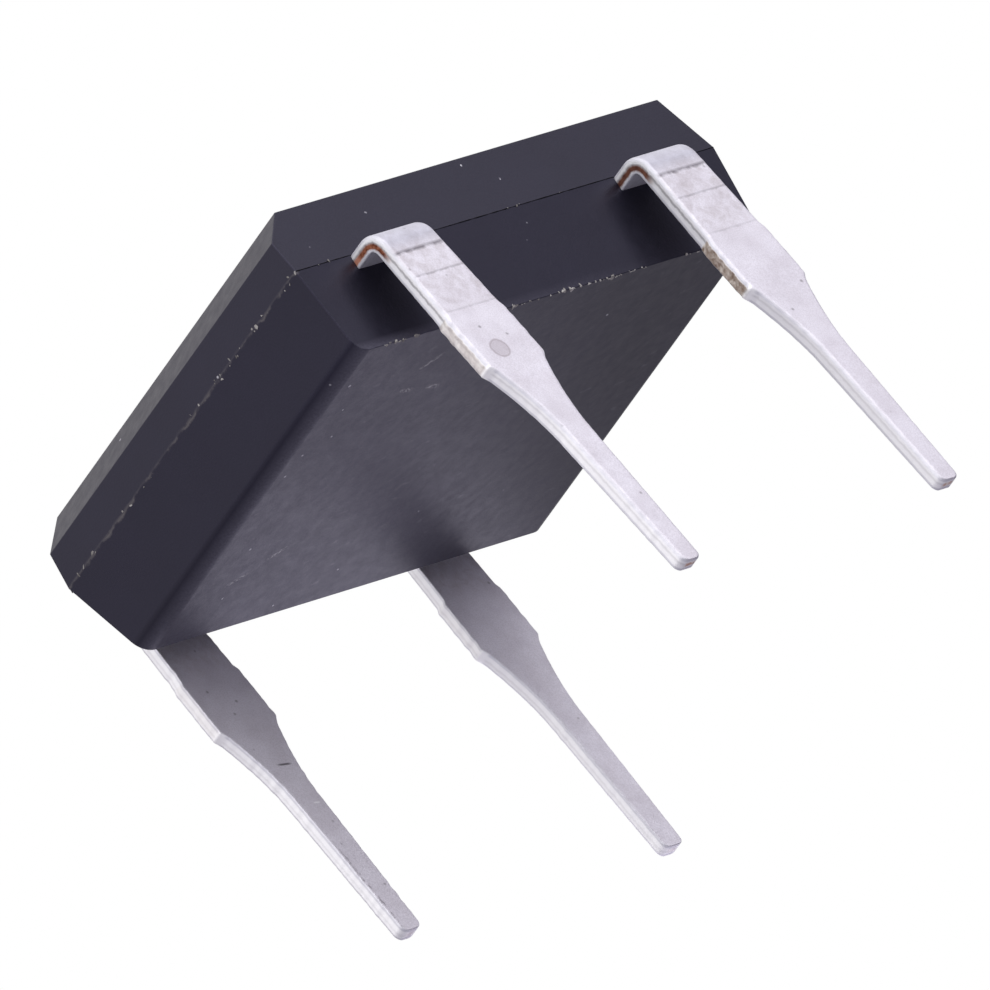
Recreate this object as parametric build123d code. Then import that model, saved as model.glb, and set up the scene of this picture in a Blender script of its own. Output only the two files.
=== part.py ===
"""Four-lead bridge rectifier: an epoxy block moulded round two stamped lead frames and four diode dice.

Millimetres, +Z up. The origin is the middle of the lead pattern on the face of the circuit board, where the
leads' shoulders stop. X runs along the body, with the bevelled end at -X, and Y runs from the direct-current
row of leads to the alternating-current row.
"""
import math
import os

from build123d import *

# Moulded body, at its parting line and up and down from it
body_length = 8.40
body_width = 6.26
upper_height = 1.00
lower_height = 1.33
draft_angle = 7.0
bevel = 0.47
end_radius = 0.25
parting_height = 2.51

# Leads outside the body
lead_pitch = 5.28
lead_standoff = 0.46
lead_splay = 0.7
lead_thickness = 0.22
lead_width = 0.97
shoulder_width = 1.05
bend_radius = 0.10
stub_reach = 0.04
stub_length = 0.87
taper_length = 1.30
pin_width = 0.47
tip_width = 0.32
tip_depth = 3.60
tip_radius = 0.09

# Lead frames inside the body
tail_embed = 0.30
set_run = 0.36
set_radius = 0.14
pad_gap = 0.90
bar_width = 1.10
link_width = 0.70
link_gap = 0.40
lock_hole_radius = 0.22
frame_fillet = 0.20

# Diode dice with the solder that joins them to the frames
die_side = 1.30
die_thickness = 0.25
mesa_side = 1.00
mesa_height = 0.07
solder_thickness = 0.05
cathode_solder_radius = 0.50
anode_bump_radius = 0.40
bump_height = 0.08

# Reach of cutting shapes past what they cut
overrun = 0.30

# Heights of the frames: each lead leaves with its upper face on the parting line, then steps to a level
exit_level = parting_height - lead_thickness / 2
stack_height = bump_height + die_thickness + 2 * solder_thickness
stack_middle = parting_height + (upper_height - lower_height) / 2
pad_top = stack_middle - stack_height / 2
bar_bottom = stack_middle + stack_height / 2
pad_level = pad_top - lead_thickness / 2
bar_level = bar_bottom + lead_thickness / 2

# Rows of leads, each its standoff out from the body's wall at the bend and splayed a little below it
half_width = body_width / 2
row_spacing = body_width + 2 * lead_standoff
foot_depth = tip_depth + overrun
foot_spread = (exit_level + foot_depth) * math.tan(math.radians(lead_splay))

# Places of the frames and dice in plan
pad_reach = half_width - tail_embed - set_run
flat_reach = pad_reach - set_radius
pad_outer = lead_pitch / 2 + lead_width / 2
pad_inner = pad_gap / 2
die_x = (pad_outer + pad_inner) / 2
die_y = flat_reach / 2
bar_end = die_x + bar_width / 2
link_inner = bar_end + link_gap
link_outer = link_inner + link_width


def span(x_low, x_high, y_low, y_high):
    """Rectangle between two limits each way."""
    middle = Location(((x_low + x_high) / 2, (y_low + y_high) / 2))
    return middle * Rectangle(x_high - x_low, y_high - y_low)


def drafted_outline(half_span):
    """Outline of the body from one side: widest at the parting line, drawn in above and below it."""
    slope = math.tan(math.radians(draft_angle))
    top = half_span - upper_height * slope
    bottom = half_span - lower_height * slope
    high = parting_height + upper_height
    low = parting_height - lower_height
    right = [(bottom, low), (half_span, parting_height), (top, high)]
    left = [(-across, height) for across, height in reversed(right)]
    return make_face(Polyline(*right, *left, close=True))


def body_form():
    """Outer form of the epoxy: two drafted halves, a bevel over one end, soft lower edges at both."""
    side_view = drafted_outline(body_length / 2)
    bevel_corner = side_view.vertices().group_by(Axis.Y)[-1].sort_by(Axis.X)[0]
    side_view = chamfer(bevel_corner, length=bevel)
    side_view = fillet(side_view.vertices().group_by(Axis.Y)[0], radius=end_radius)
    end_view = drafted_outline(half_width)
    along = extrude(Plane.YZ * end_view, amount=body_length / 2, both=True)
    across = extrude(Plane.XZ * side_view, amount=half_width, both=True)
    return along & across


def bent_strip(row_side, level):
    """Frame metal bent to one row's side view: splayed leg, bend, and the step to its inner level."""
    leg_y = row_side * row_spacing / 2
    foot_y = leg_y + row_side * foot_spread
    tail_y = row_side * (half_width - tail_embed)
    flat_y = row_side * pad_reach
    middle_line = FilletPolyline(
        (foot_y, -foot_depth),
        (leg_y, exit_level),
        (tail_y, exit_level),
        (flat_y, level),
        (-flat_y - row_side * overrun, level),
        radius=[bend_radius + lead_thickness / 2, set_radius, set_radius],
    )
    side_view = Plane.YZ * trace(middle_line, line_width=lead_thickness)
    return extrude(side_view, amount=body_length / 2, both=True)


def leg_outline():
    """Front view of a leg: flared neck, sheared dam-bar stubs, hollow taper under the shoulder, and pin."""
    neck_x = lead_width / 2
    shoulder_x = shoulder_width / 2
    stub_x = shoulder_x + stub_reach
    pin_x = pin_width / 2
    tip_x = tip_width / 2
    neck_top = parting_height + overrun
    pin_edge = Vector(tip_x - pin_x, taper_length - tip_depth)
    neck = Polyline((0, neck_top), (neck_x, neck_top), (neck_x, exit_level), (shoulder_x, stub_length))
    stub = Polyline((shoulder_x, stub_length), (stub_x, stub_length), (stub_x, 0), (shoulder_x, 0))
    taper = TangentArc((pin_x, -taper_length), (shoulder_x, 0), tangent=-pin_edge)
    pin = Polyline((pin_x, -taper_length), (tip_x, -tip_depth), (0, -tip_depth))
    half = make_face(neck + stub + taper + pin + Line((0, -tip_depth), (0, neck_top)))
    whole = half + mirror(half, about=Plane.YZ)
    tip_corners = whole.vertices().group_by(Axis.Y)[0]
    return fillet(tip_corners, radius=tip_radius)


def leg_prism(row_side, lead_x):
    """Block with the leg's front view, from outside the bend to inside the body's wall."""
    outer_y = row_side * (row_spacing / 2 + foot_spread + lead_thickness + overrun)
    inner_y = row_side * (half_width - tail_embed)
    front = Plane.XZ.offset(-(outer_y + inner_y) / 2) * Location((lead_x, 0)) * leg_outline()
    return extrude(front, amount=abs(outer_y - inner_y) / 2, both=True)


def plan_prism(plan):
    """Block with a frame's plan, tall enough to take in the step between its levels."""
    low = min(pad_level, bar_level, exit_level) - lead_thickness
    high = max(pad_level, bar_level, exit_level) + lead_thickness
    return extrude(Plane.XY.offset(low) * plan, amount=high - low)


def tail_plan(row_side, lead_x, inner_y):
    """Plan of a lead's tail, from the body's wall in to a given place."""
    ends = sorted((row_side * half_width, inner_y))
    return span(lead_x - lead_width / 2, lead_x + lead_width / 2, ends[0], ends[1])


def lock_hole(x, y):
    """Hole through a frame that the epoxy fills and so locks."""
    return Location((x, y)) * Circle(lock_hole_radius)


def press_rounded(plan):
    """Plan with the press tool's radius in its inner corners, and its outer corners left sharp."""
    grown = offset(plan, amount=frame_fillet, kind=Kind.INTERSECTION)
    return offset(grown, amount=-frame_fillet, kind=Kind.ARC)


def direct_current_plan(side):
    """Plan of a lower frame: a pad along Y under two dice, with its tail to the -Y row."""
    pad_ends = sorted((side * pad_inner, side * pad_outer))
    pad = span(pad_ends[0], pad_ends[1], -flat_reach, flat_reach)
    tail = tail_plan(-1, side * lead_pitch / 2, -flat_reach)
    return press_rounded(pad + tail) - lock_hole(side * die_x, 0)


def near_bar_plan():
    """Plan of the upper frame that goes round the end of the other one to reach the dice by the -Y row."""
    tail = tail_plan(1, -lead_pitch / 2, flat_reach - link_width / 2)
    link = span(-link_outer, -link_inner, -die_y - bar_width / 2, flat_reach)
    bar = span(-link_outer, bar_end, -die_y - bar_width / 2, -die_y + bar_width / 2)
    return press_rounded(tail + link + bar) - lock_hole(0, -die_y)


def far_bar_plan():
    """Plan of the upper frame over the dice by the +Y row."""
    tail = tail_plan(1, lead_pitch / 2, die_y - bar_width / 2)
    bar = span(-bar_end, pad_outer, die_y - bar_width / 2, die_y + bar_width / 2)
    return press_rounded(tail + bar) - lock_hole(0, die_y)


def stamped_lead(row_side, lead_x, level, plan):
    """One piece of frame: its leg outside the body and its plan inside, cut from the bent strip."""
    return bent_strip(row_side, level) & (leg_prism(row_side, lead_x) + plan_prism(plan))


def disc(x, y, low, radius, height):
    """Upright round disc on a given level."""
    return extrude(Plane.XY.offset(low) * Location((x, y)) * Circle(radius), amount=height)


def diode_die(x, y, low, mesa_up):
    """Silicon die with a smaller mesa on its anode side."""
    base_low = low if mesa_up else low + mesa_height
    mesa_low = low + die_thickness - mesa_height if mesa_up else low
    place = Location((x, y))
    base = Plane.XY.offset(base_low) * place * Rectangle(die_side, die_side)
    mesa = Plane.XY.offset(mesa_low) * place * Rectangle(mesa_side, mesa_side)
    return extrude(base, amount=die_thickness - mesa_height) + extrude(mesa, amount=mesa_height)


# Stamped leads: the direct-current frames lie under the dice, the alternating-current frames over them
nodes = {
    "lead_positive": stamped_lead(-1, -lead_pitch / 2, pad_level, direct_current_plan(-1)),
    "lead_negative": stamped_lead(-1, lead_pitch / 2, pad_level, direct_current_plan(1)),
    "lead_ac_1": stamped_lead(1, -lead_pitch / 2, bar_level, near_bar_plan()),
    "lead_ac_2": stamped_lead(1, lead_pitch / 2, bar_level, far_bar_plan()),
}

# Dice in solder: cathodes lie flat on the positive pad, and on the negative pad the dice are turned over,
# so that a coined bump on a frame always meets the mesa of the anode
corners = [(-1, -1), (-1, 1), (1, -1), (1, 1)]
for number, (column, row) in enumerate(corners, start=1):
    x = column * die_x
    y = row * die_y
    bar_name = "lead_ac_1" if row < 0 else "lead_ac_2"
    mesa_up = column < 0
    if mesa_up:
        cathode_low = pad_top
        die_low = cathode_low + solder_thickness
        anode_low = die_low + die_thickness
        nodes[bar_name] += disc(x, y, bar_bottom - bump_height, anode_bump_radius, bump_height)
    else:
        anode_low = pad_top + bump_height
        die_low = anode_low + solder_thickness
        cathode_low = die_low + die_thickness
        nodes["lead_negative"] += disc(x, y, pad_top, anode_bump_radius, bump_height)
    nodes[f"diode_{number}"] = diode_die(x, y, die_low, mesa_up)
    cathode_solder = disc(x, y, cathode_low, cathode_solder_radius, solder_thickness)
    nodes[f"diode_{number}_cathode_solder"] = cathode_solder
    anode_solder = disc(x, y, anode_low, anode_bump_radius, solder_thickness)
    nodes[f"diode_{number}_anode_solder"] = anode_solder

# Epoxy, moulded round everything inside it
body = body_form()
for piece in list(nodes.values()):
    body -= piece
nodes["moulded_body"] = body

os.makedirs("parts", exist_ok=True)
for name, piece in nodes.items():
    export_step(piece, f"parts/{name}.step")
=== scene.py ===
import math

import bmesh
import bpy
from mathutils import Matrix, Vector, noise
from mathutils.bvhtree import BVHTree


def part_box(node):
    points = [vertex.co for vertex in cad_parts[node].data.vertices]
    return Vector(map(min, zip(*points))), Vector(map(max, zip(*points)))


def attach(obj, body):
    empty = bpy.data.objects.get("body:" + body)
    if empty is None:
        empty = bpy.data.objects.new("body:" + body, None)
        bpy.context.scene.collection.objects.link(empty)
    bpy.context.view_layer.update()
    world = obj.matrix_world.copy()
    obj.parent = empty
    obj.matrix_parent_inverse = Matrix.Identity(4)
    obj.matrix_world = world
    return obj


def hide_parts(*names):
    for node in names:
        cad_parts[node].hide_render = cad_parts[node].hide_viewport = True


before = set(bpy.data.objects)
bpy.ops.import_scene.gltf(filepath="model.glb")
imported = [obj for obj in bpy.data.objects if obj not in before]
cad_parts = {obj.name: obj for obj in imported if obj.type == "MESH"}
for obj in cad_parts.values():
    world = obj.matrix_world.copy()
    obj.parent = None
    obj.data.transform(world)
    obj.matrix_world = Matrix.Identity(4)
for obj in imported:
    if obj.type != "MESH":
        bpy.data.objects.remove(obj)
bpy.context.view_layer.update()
scene = bpy.context.scene


# Leads
# Four legs of soft copper strip, pressed out flat with the pads that lie inside the body, tin plated after
# moulding, then cut free of the bar that held them in the strip and bent down along both sides.
# The cuts through that bar, the stretched sides of the bend and the tips show bare copper.
mm = 0.001
lead_pitch = 5.28 * mm
row_spacing = 7.18 * mm
lead_thickness = 0.22 * mm
exit_level = 2.40 * mm
bend_middle_radius = 0.21 * mm
frame_cut = 2.95 * mm
neck_half = 0.485 * mm
neck_low_half = 0.525 * mm
stub_half = 0.562 * mm
stub_length = 0.87 * mm
stub_step = 0.06 * mm
corner_step = 0.03 * mm
foot_length = 0.12 * mm
taper_length = 1.30 * mm
taper_power = 1.75
pin_half = 0.235 * mm
tip_half = 0.18 * mm
tip_depth = 3.60 * mm
tip_radius = 0.09 * mm
tip_shrink = 0.018 * mm
roll_radius = 0.050 * mm
burr_radius = 0.018 * mm
ring_spacing = 0.03 * mm
tail_steps = 8
bend_steps = 18
tip_steps = 6
corner_steps = 4
face_loop = 0.02 * mm
side_loop = 0.01 * mm
torn_edge = 0.016 * mm
clean_edge = 0.007 * mm
edge_wave = 0.11 * mm
wave_shift = 9.0
merge_gap = 0.0001 * mm
bare_bend_low = 1.97 * mm
bare_bend_high = 2.12 * mm


def leg_half_width(height):
    """Half the width of a leg at a height over the board: neck, cut stubs, hollow taper, pin, rounded tip."""
    if height > -taper_length:
        neck_share = min(1.0, (exit_level - height) / (exit_level - stub_length))
        half = neck_half + (neck_low_half - neck_half) * neck_share
        if height < 0:
            half = pin_half + (half - pin_half) * (1 + height / taper_length) ** taper_power
        top = min(1.0, max(0.0, (stub_length + stub_step - height) / (2 * stub_step)))
        foot = min(1.0, max(0.0, (height + foot_length) / (foot_length + corner_step)))
        rise = min(top * top * (3 - 2 * top), foot * foot * (3 - 2 * foot))
        return half + (stub_half - neck_low_half) * rise
    share = (-taper_length - height) / (tip_depth - taper_length)
    half = pin_half + (tip_half - pin_half) * share
    from_end = height + tip_depth
    if from_end < tip_radius:
        half += math.sqrt(tip_radius ** 2 - (tip_radius - from_end) ** 2) - tip_radius
    return half


def leg_stations(splay):
    """Places along a leg's middle line: distance out from the body's middle, height, and turn of the bend."""
    bend_turn = math.pi / 2 - splay
    bend_start = row_spacing / 2 - bend_middle_radius * math.tan(bend_turn / 2)
    tail = bend_start - frame_cut
    places = [(frame_cut + tail * i / tail_steps, exit_level, 0) for i in range(tail_steps)]
    for i in range(bend_steps + 1):
        turn = bend_turn * i / bend_steps
        out = bend_start + bend_middle_radius * math.sin(turn)
        places.append((out, exit_level - bend_middle_radius * (1 - math.cos(turn)), turn))
    stops = [places[-1][1], corner_step, -corner_step, tip_radius - tip_depth]
    heights = []
    for high, low in zip(stops, stops[1:]):
        count = max(4, round((high - low) / ring_spacing))
        heights += [high + (low - high) * (i + 1) / count for i in range(count)]
    tip_turns = [math.pi / 2 * (i + 1) / tip_steps for i in range(tip_steps)]
    heights += [tip_radius * (1 - math.sin(turn)) - tip_depth for turn in tip_turns]
    spread = math.tan(splay)
    outs = [row_spacing / 2 + (exit_level - height) * spread for height in heights]
    return places + [(out, height, math.pi / 2) for out, height in zip(outs, heights)]


def leg_section(left, right, shrink):
    """Outline of the strip's section, with rolled edges outside and crisp ones inside, and with how far each
    point is round to the cut side and how far it is through to the outer face."""
    half = lead_thickness / 2 - shrink
    points = []
    corners = ((1, 1, roll_radius), (1, -1, burr_radius), (-1, -1, burr_radius), (-1, 1, roll_radius))
    for side, face, radius in corners:
        wide = (right if side > 0 else left) - shrink
        turns = [math.pi / 2 * i / corner_steps for i in range(corner_steps + 1)]
        fan = [(math.sin(turn), math.cos(turn)) for turn in turns]
        corner = [
            (side * (wide - radius + radius * s), face * (half - radius + radius * c), s) for s, c in fan
        ]
        corner.insert(0, (side * (wide - radius - face_loop), face * half, 0.0))
        corner.append((side * wide, face * (half - radius - side_loop), 1.0))
        points += corner if side == face else corner[::-1]
    return [(u, v, share, v / half) for u, v, share in points]


def grow_leg(mesh, row, lead_x, splay, lean, torn, number):
    """Adds one bent leg to a mesh, in rings from inside the body's wall out to the tip."""
    names = ("cut_side", "through_strip", "sheared_stub", "bare_bend", "bare_tip")
    layers = [mesh.verts.layers.float.new(name) for name in names]
    side_layer, through_layer, stub_layer, bend_layer, tip_layer = layers
    rings = []
    stations = leg_stations(splay)
    for place, (out, height, turn) in enumerate(stations):
        half = leg_half_width(height)
        at_stub = -corner_step < height < stub_length + stub_step / 2
        # The cut stubs are torn, and so is the whole edge of the far lead at the bevelled end
        rough = torn_edge if at_stub or row > 0 > lead_x else clean_edge
        waves = [Vector((height / edge_wave, wave_shift * number, side)) for side in (1, 2)]
        left, right = [half + rough * noise.noise(wave) for wave in waves]
        at_tip = len(stations) - 1 - place
        along = Vector((0, math.sin(turn) * row, math.cos(turn)))
        middle = Vector((lead_x + (exit_level - height) * math.tan(lean), row * out, height))
        bend = min(1.0, max(0.0, (height - bare_bend_low) / (bare_bend_high - bare_bend_low)))
        ring = []
        for u, v, share, depth in leg_section(left, right, tip_shrink if at_tip == 0 else 0):
            vert = mesh.verts.new(middle + Vector((u, 0, 0)) + v * along)
            vert[side_layer] = share
            vert[through_layer] = depth
            vert[stub_layer] = torn if at_stub else 0.0
            vert[bend_layer] = bend
            vert[tip_layer] = 1.0 if at_tip == 0 else 0.0
            ring.append(vert)
        rings.append(ring)
    for near, far in zip(rings, rings[1:]):
        for i in range(len(near)):
            j = (i + 1) % len(near)
            mesh.faces.new((near[i], near[j], far[j], far[i])).smooth = True
    mesh.faces.new(rings[0])
    mesh.faces.new(rings[-1])


def linear(code):
    """Linear colour of an sRGB hex code."""
    shares = [int(code[i:i + 2], 16) / 255 for i in (1, 3, 5)]
    return [s / 12.92 if s <= 0.04045 else ((s + 0.055) / 1.055) ** 2.4 for s in shares] + [1.0]


def add_node(tree, kind, inputs=None, **settings):
    """Adds a node with its settings, and sets or links its inputs, by name or number. On Map Range 0 is the
    value, 1 and 2 are the range from and 3 and 4 the range to. On a colour Mix 6 and 7 are the colours."""
    made = tree.nodes.new(kind)
    for name, value in settings.items():
        setattr(made, name, value)
    for socket, value in (inputs or {}).items():
        if isinstance(value, bpy.types.NodeSocket):
            tree.links.new(value, made.inputs[socket])
        else:
            made.inputs[socket].default_value = value
    return made


# Matt tin over copper: pale lavender-white metal, even on the pins and blotched on the necks, where the
# bending tool left lines that are darkened as painted shade. The sides shine between rolled edges, burnished
# and whitened further as a painted highlight, the bend is greyed with painted shade, the cut stubs are torn
# brown and cream, and a thin line of copper shows round the bend and on the tips, drawn pale as a painted
# highlight.
tin = bpy.data.materials.new("Tin_plated_copper")
tin.use_nodes = True
tree = tin.node_tree
tree.nodes.clear()
place = add_node(tree, "ShaderNodeTexCoord").outputs["Object"]
across, out, height = add_node(tree, "ShaderNodeSeparateXYZ", {0: place}).outputs
side = add_node(tree, "ShaderNodeAttribute", attribute_name="cut_side").outputs["Fac"]
depth = add_node(tree, "ShaderNodeAttribute", attribute_name="through_strip").outputs["Fac"]
stub = add_node(tree, "ShaderNodeAttribute", attribute_name="sheared_stub").outputs["Fac"]
bend = add_node(tree, "ShaderNodeAttribute", attribute_name="bare_bend").outputs["Fac"]
tip = add_node(tree, "ShaderNodeAttribute", attribute_name="bare_tip").outputs["Fac"]
# Noises by size in mm, detail and twist
noises = []
for size, detail, twist in ((0.45, 2.0, 0.0), (0.15, 3.0, 0.5), (0.065, 2.0, 0.2), (0.02, 1.0, 0.0)):
    values = {"Vector": place, "Scale": 1 / (size * mm), "Detail": detail, "Distortion": twist}
    noises.append(add_node(tree, "ShaderNodeTexNoise", values).outputs[0])
clouds, blotches, torn, grain = noises

# Even plating, with a fine grain
even = add_node(tree, "ShaderNodeMapRange", {0: clouds, 1: 0.35, 2: 0.65}).outputs[0]
colour = add_node(
    tree, "ShaderNodeMix", {0: even, 6: linear("#e3dfe6"), 7: linear("#ece9f0")}, data_type="RGBA"
)
fine = add_node(tree, "ShaderNodeMapRange", {0: grain, 1: 0.35, 2: 0.7, 3: 0.0, 4: 0.22}).outputs[0]
colour = add_node(
    tree, "ShaderNodeMix", {0: fine, 6: colour.outputs[2], 7: linear("#b3acb0")}, data_type="RGBA"
)

# Blotches on the neck, which the tool rubbed
low = add_node(tree, "ShaderNodeMapRange", {0: height, 1: 0.85 * mm, 2: 1.05 * mm}).outputs[0]
neck = add_node(tree, "ShaderNodeMapRange", {0: height, 1: 2.47 * mm, 2: 2.40 * mm, 4: low})
blotched = add_node(tree, "ShaderNodeMapRange", {0: blotches, 1: 0.40, 2: 0.72, 3: 0.0, 4: 0.24}).outputs[0]
blotched = add_node(
    tree, "ShaderNodeMath", {0: blotched, 1: neck.outputs[0]}, operation="MULTIPLY"
).outputs[0]
colour = add_node(
    tree, "ShaderNodeMix", {0: blotched, 6: colour.outputs[2], 7: linear("#a89b98")}, data_type="RGBA"
)

# Painted shade over the bend and the run above it: a bluish grey that dims the curved metal
bend_painted_shade = add_node(tree, "ShaderNodeMapRange", {0: height, 1: 2.0 * mm, 2: 2.2 * mm, 3: 0.0, 4: 0.45}).outputs[0]
colour = add_node(
    tree, "ShaderNodeMix", {0: bend_painted_shade, 6: colour.outputs[2], 7: linear("#b6b8c6")}, data_type="RGBA"
)

# Lines across from the bending tool, pressed in by the bump, and darkened in colour as painted shade in the
# creases
wander = add_node(tree, "ShaderNodeMath", {0: blotches, 1: 0.05 * mm, 2: height}, operation="MULTIPLY_ADD")
tool_lines_and_shade = None
for level, half_line, strength in ((2.005, 0.045, 0.8), (1.59, 0.028, 0.4), (0.95, 0.025, 0.2)):
    from_line = {0: wander.outputs[0], 1: (level + 0.025) * mm}
    off = add_node(tree, "ShaderNodeMath", from_line, operation="SUBTRACT").outputs[0]
    off = add_node(tree, "ShaderNodeMath", {0: off}, operation="ABSOLUTE").outputs[0]
    line = add_node(
        tree, "ShaderNodeMapRange", {0: off, 1: 0.0, 2: half_line * mm, 3: strength, 4: 0.0}
    ).outputs[0]
    if tool_lines_and_shade:
        line = add_node(tree, "ShaderNodeMath", {0: tool_lines_and_shade, 1: line}, operation="MAXIMUM").outputs[0]
    tool_lines_and_shade = line
outer = add_node(tree, "ShaderNodeMapRange", {0: depth, 1: 0.6, 2: 0.95}).outputs[0]
broken = add_node(tree, "ShaderNodeMapRange", {0: blotches, 1: 0.36, 2: 0.56, 3: 0.55, 4: 1.0}).outputs[0]
broken = add_node(tree, "ShaderNodeMath", {0: broken, 1: outer}, operation="MULTIPLY").outputs[0]
tool_lines_and_shade = add_node(tree, "ShaderNodeMath", {0: tool_lines_and_shade, 1: broken}, operation="MULTIPLY").outputs[0]
# The tool lines drawn darker: painted shade in the creases
colour = add_node(
    tree, "ShaderNodeMix", {0: tool_lines_and_shade, 6: colour.outputs[2], 7: linear("#77727a")}, data_type="RGBA"
)

# Pits in the plating, darker grey dots of painted shade in the hollows, and the round mark of a probe on the
# outer face of one lead
cells = add_node(tree, "ShaderNodeTexVoronoi", {"Vector": place, "Scale": 1 / (0.17 * mm)})
pit_painted_shade = add_node(
    tree, "ShaderNodeMapRange", {0: cells.outputs["Distance"], 1: 0.07, 2: 0.19, 3: 0.6, 4: 0.0}
).outputs[0]
rare = add_node(tree, "ShaderNodeSeparateColor", {0: cells.outputs["Color"]}).outputs[0]
rare = add_node(tree, "ShaderNodeMath", {0: rare, 1: 0.86}, operation="GREATER_THAN").outputs[0]
pit_painted_shade = add_node(tree, "ShaderNodeMath", {0: pit_painted_shade, 1: rare}, operation="MULTIPLY").outputs[0]
colour = add_node(
    tree, "ShaderNodeMix", {0: pit_painted_shade, 6: colour.outputs[2], 7: linear("#8d878c")}, data_type="RGBA"
)
probe_centre = (-2.69 * mm, -3.725 * mm, 0.22 * mm)
away = add_node(
    tree, "ShaderNodeVectorMath", {0: place, 1: probe_centre}, operation="DISTANCE"
).outputs["Value"]
away = add_node(
    tree, "ShaderNodeMath", {0: blotches, 1: 0.04 * mm, 2: away}, operation="MULTIPLY_ADD"
).outputs[0]
disc = add_node(
    tree, "ShaderNodeMapRange", {0: away, 1: 0.18 * mm, 2: 0.165 * mm, 3: 0.0, 4: 0.32}
).outputs[0]
rim = add_node(
    tree, "ShaderNodeMath", {0: away, 1: 0.168 * mm, 2: 0.016 * mm}, operation="COMPARE"
).outputs[0]
disc = add_node(tree, "ShaderNodeMath", {0: rim, 1: 0.25, 2: disc}, operation="MULTIPLY_ADD").outputs[0]
colour = add_node(
    tree, "ShaderNodeMix", {0: disc, 6: colour.outputs[2], 7: linear("#aa9fa5")}, data_type="RGBA"
)

# A crease drawn dark as painted shade and a scratch drawn near white as a painted highlight, on the inner
# face of one lead of the far row
for centre, half_length, half_line, code in (
    ((-2.60, 3.48, -0.72), 0.14, 0.022, "#4f4b51"),
    ((-2.58, 3.48, -1.40), 0.07, 0.02, "#fbfafc"),
):
    off = {0: place, 1: [-length * mm for length in centre]}
    off = add_node(tree, "ShaderNodeVectorMath", off, operation="ADD").outputs[0]
    off_x, off_y, off_z = add_node(tree, "ShaderNodeSeparateXYZ", {0: off}).outputs
    off_z = add_node(
        tree, "ShaderNodeMath", {0: off_x, 1: 0.15, 2: off_z}, operation="MULTIPLY_ADD"
    ).outputs[0]
    mark = 0.75
    for length, reach in ((off_x, half_length), (off_y, 0.06), (off_z, half_line)):
        length = add_node(tree, "ShaderNodeMath", {0: length}, operation="ABSOLUTE").outputs[0]
        length = {0: length, 1: 0.4 * reach * mm, 2: reach * mm, 3: mark, 4: 0.0}
        mark = add_node(tree, "ShaderNodeMapRange", length).outputs[0]
    colour = add_node(
        tree, "ShaderNodeMix", {0: mark, 6: colour.outputs[2], 7: linear(code)}, data_type="RGBA"
    )

# Torn plating beside the edge, low on the same lead
edge = add_node(
    tree, "ShaderNodeMath", {0: torn, 1: 0.08 * mm, 2: across}, operation="MULTIPLY_ADD"
).outputs[0]
off = add_node(tree, "ShaderNodeMath", {0: edge, 1: -2.79 * mm}, operation="SUBTRACT").outputs[0]
off = add_node(tree, "ShaderNodeMath", {0: off}, operation="ABSOLUTE").outputs[0]
tear = add_node(tree, "ShaderNodeMapRange", {0: off, 1: 0.0, 2: 0.032 * mm, 3: 0.6, 4: 0.0}).outputs[0]
for value, start, end in ((height, -2.0 * mm, -2.4 * mm), (out, 1.0 * mm, 2.0 * mm), (blotches, 0.44, 0.62)):
    tear = add_node(tree, "ShaderNodeMapRange", {0: value, 1: start, 2: end, 4: tear}).outputs[0]
colour = add_node(
    tree, "ShaderNodeMix", {0: tear, 6: colour.outputs[2], 7: linear("#6f6a70")}, data_type="RGBA"
)

# Sides: burnished and whitened further as a painted highlight, greyer round the rolled edges, with a thin
# grey line of painted shade where the punch broke through, fainter low down and on the far row
uneven_depth = add_node(
    tree, "ShaderNodeMath", {0: torn, 1: 0.3, 2: depth}, operation="MULTIPLY_ADD"
).outputs[0]
pale = add_node(tree, "ShaderNodeMath", {0: side, 1: 0.95}, operation="MULTIPLY").outputs[0]
rolled = add_node(tree, "ShaderNodeMath", {0: depth}, operation="ABSOLUTE").outputs[0]
burnish_and_highlight = add_node(tree, "ShaderNodeMapRange", {0: rolled, 1: 0.7, 2: 0.5}).outputs[0]
rim = add_node(
    tree, "ShaderNodeMix", {0: burnish_and_highlight, 6: linear("#dddce3"), 7: linear("#f8f7fa")}, data_type="RGBA"
)
colour = add_node(tree, "ShaderNodeMix", {0: pale, 6: colour.outputs[2], 7: rim.outputs[2]}, data_type="RGBA")
off = add_node(tree, "ShaderNodeMath", {0: uneven_depth, 1: 0.3}, operation="SUBTRACT").outputs[0]
off = add_node(tree, "ShaderNodeMath", {0: off}, operation="ABSOLUTE").outputs[0]
side_line_shade = add_node(tree, "ShaderNodeMapRange", {0: off, 1: 0.04, 2: 0.24, 3: 0.6, 4: 0.0}).outputs[0]
upper = add_node(
    tree, "ShaderNodeMapRange", {0: height, 1: 0.75 * mm, 2: 0.95 * mm, 3: 0.3, 4: 1.0}
).outputs[0]
near_row = add_node(
    tree, "ShaderNodeMapRange", {0: out, 1: 1.0 * mm, 2: -1.0 * mm, 3: 0.2, 4: upper}
).outputs[0]
side_line_shade = add_node(tree, "ShaderNodeMath", {0: side_line_shade, 1: near_row}, operation="MULTIPLY").outputs[0]
side_line_shade = add_node(tree, "ShaderNodeMath", {0: side_line_shade, 1: side}, operation="MULTIPLY").outputs[0]
colour = add_node(
    tree, "ShaderNodeMix", {0: side_line_shade, 6: colour.outputs[2], 7: linear("#8f8a8f")}, data_type="RGBA"
)

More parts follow.
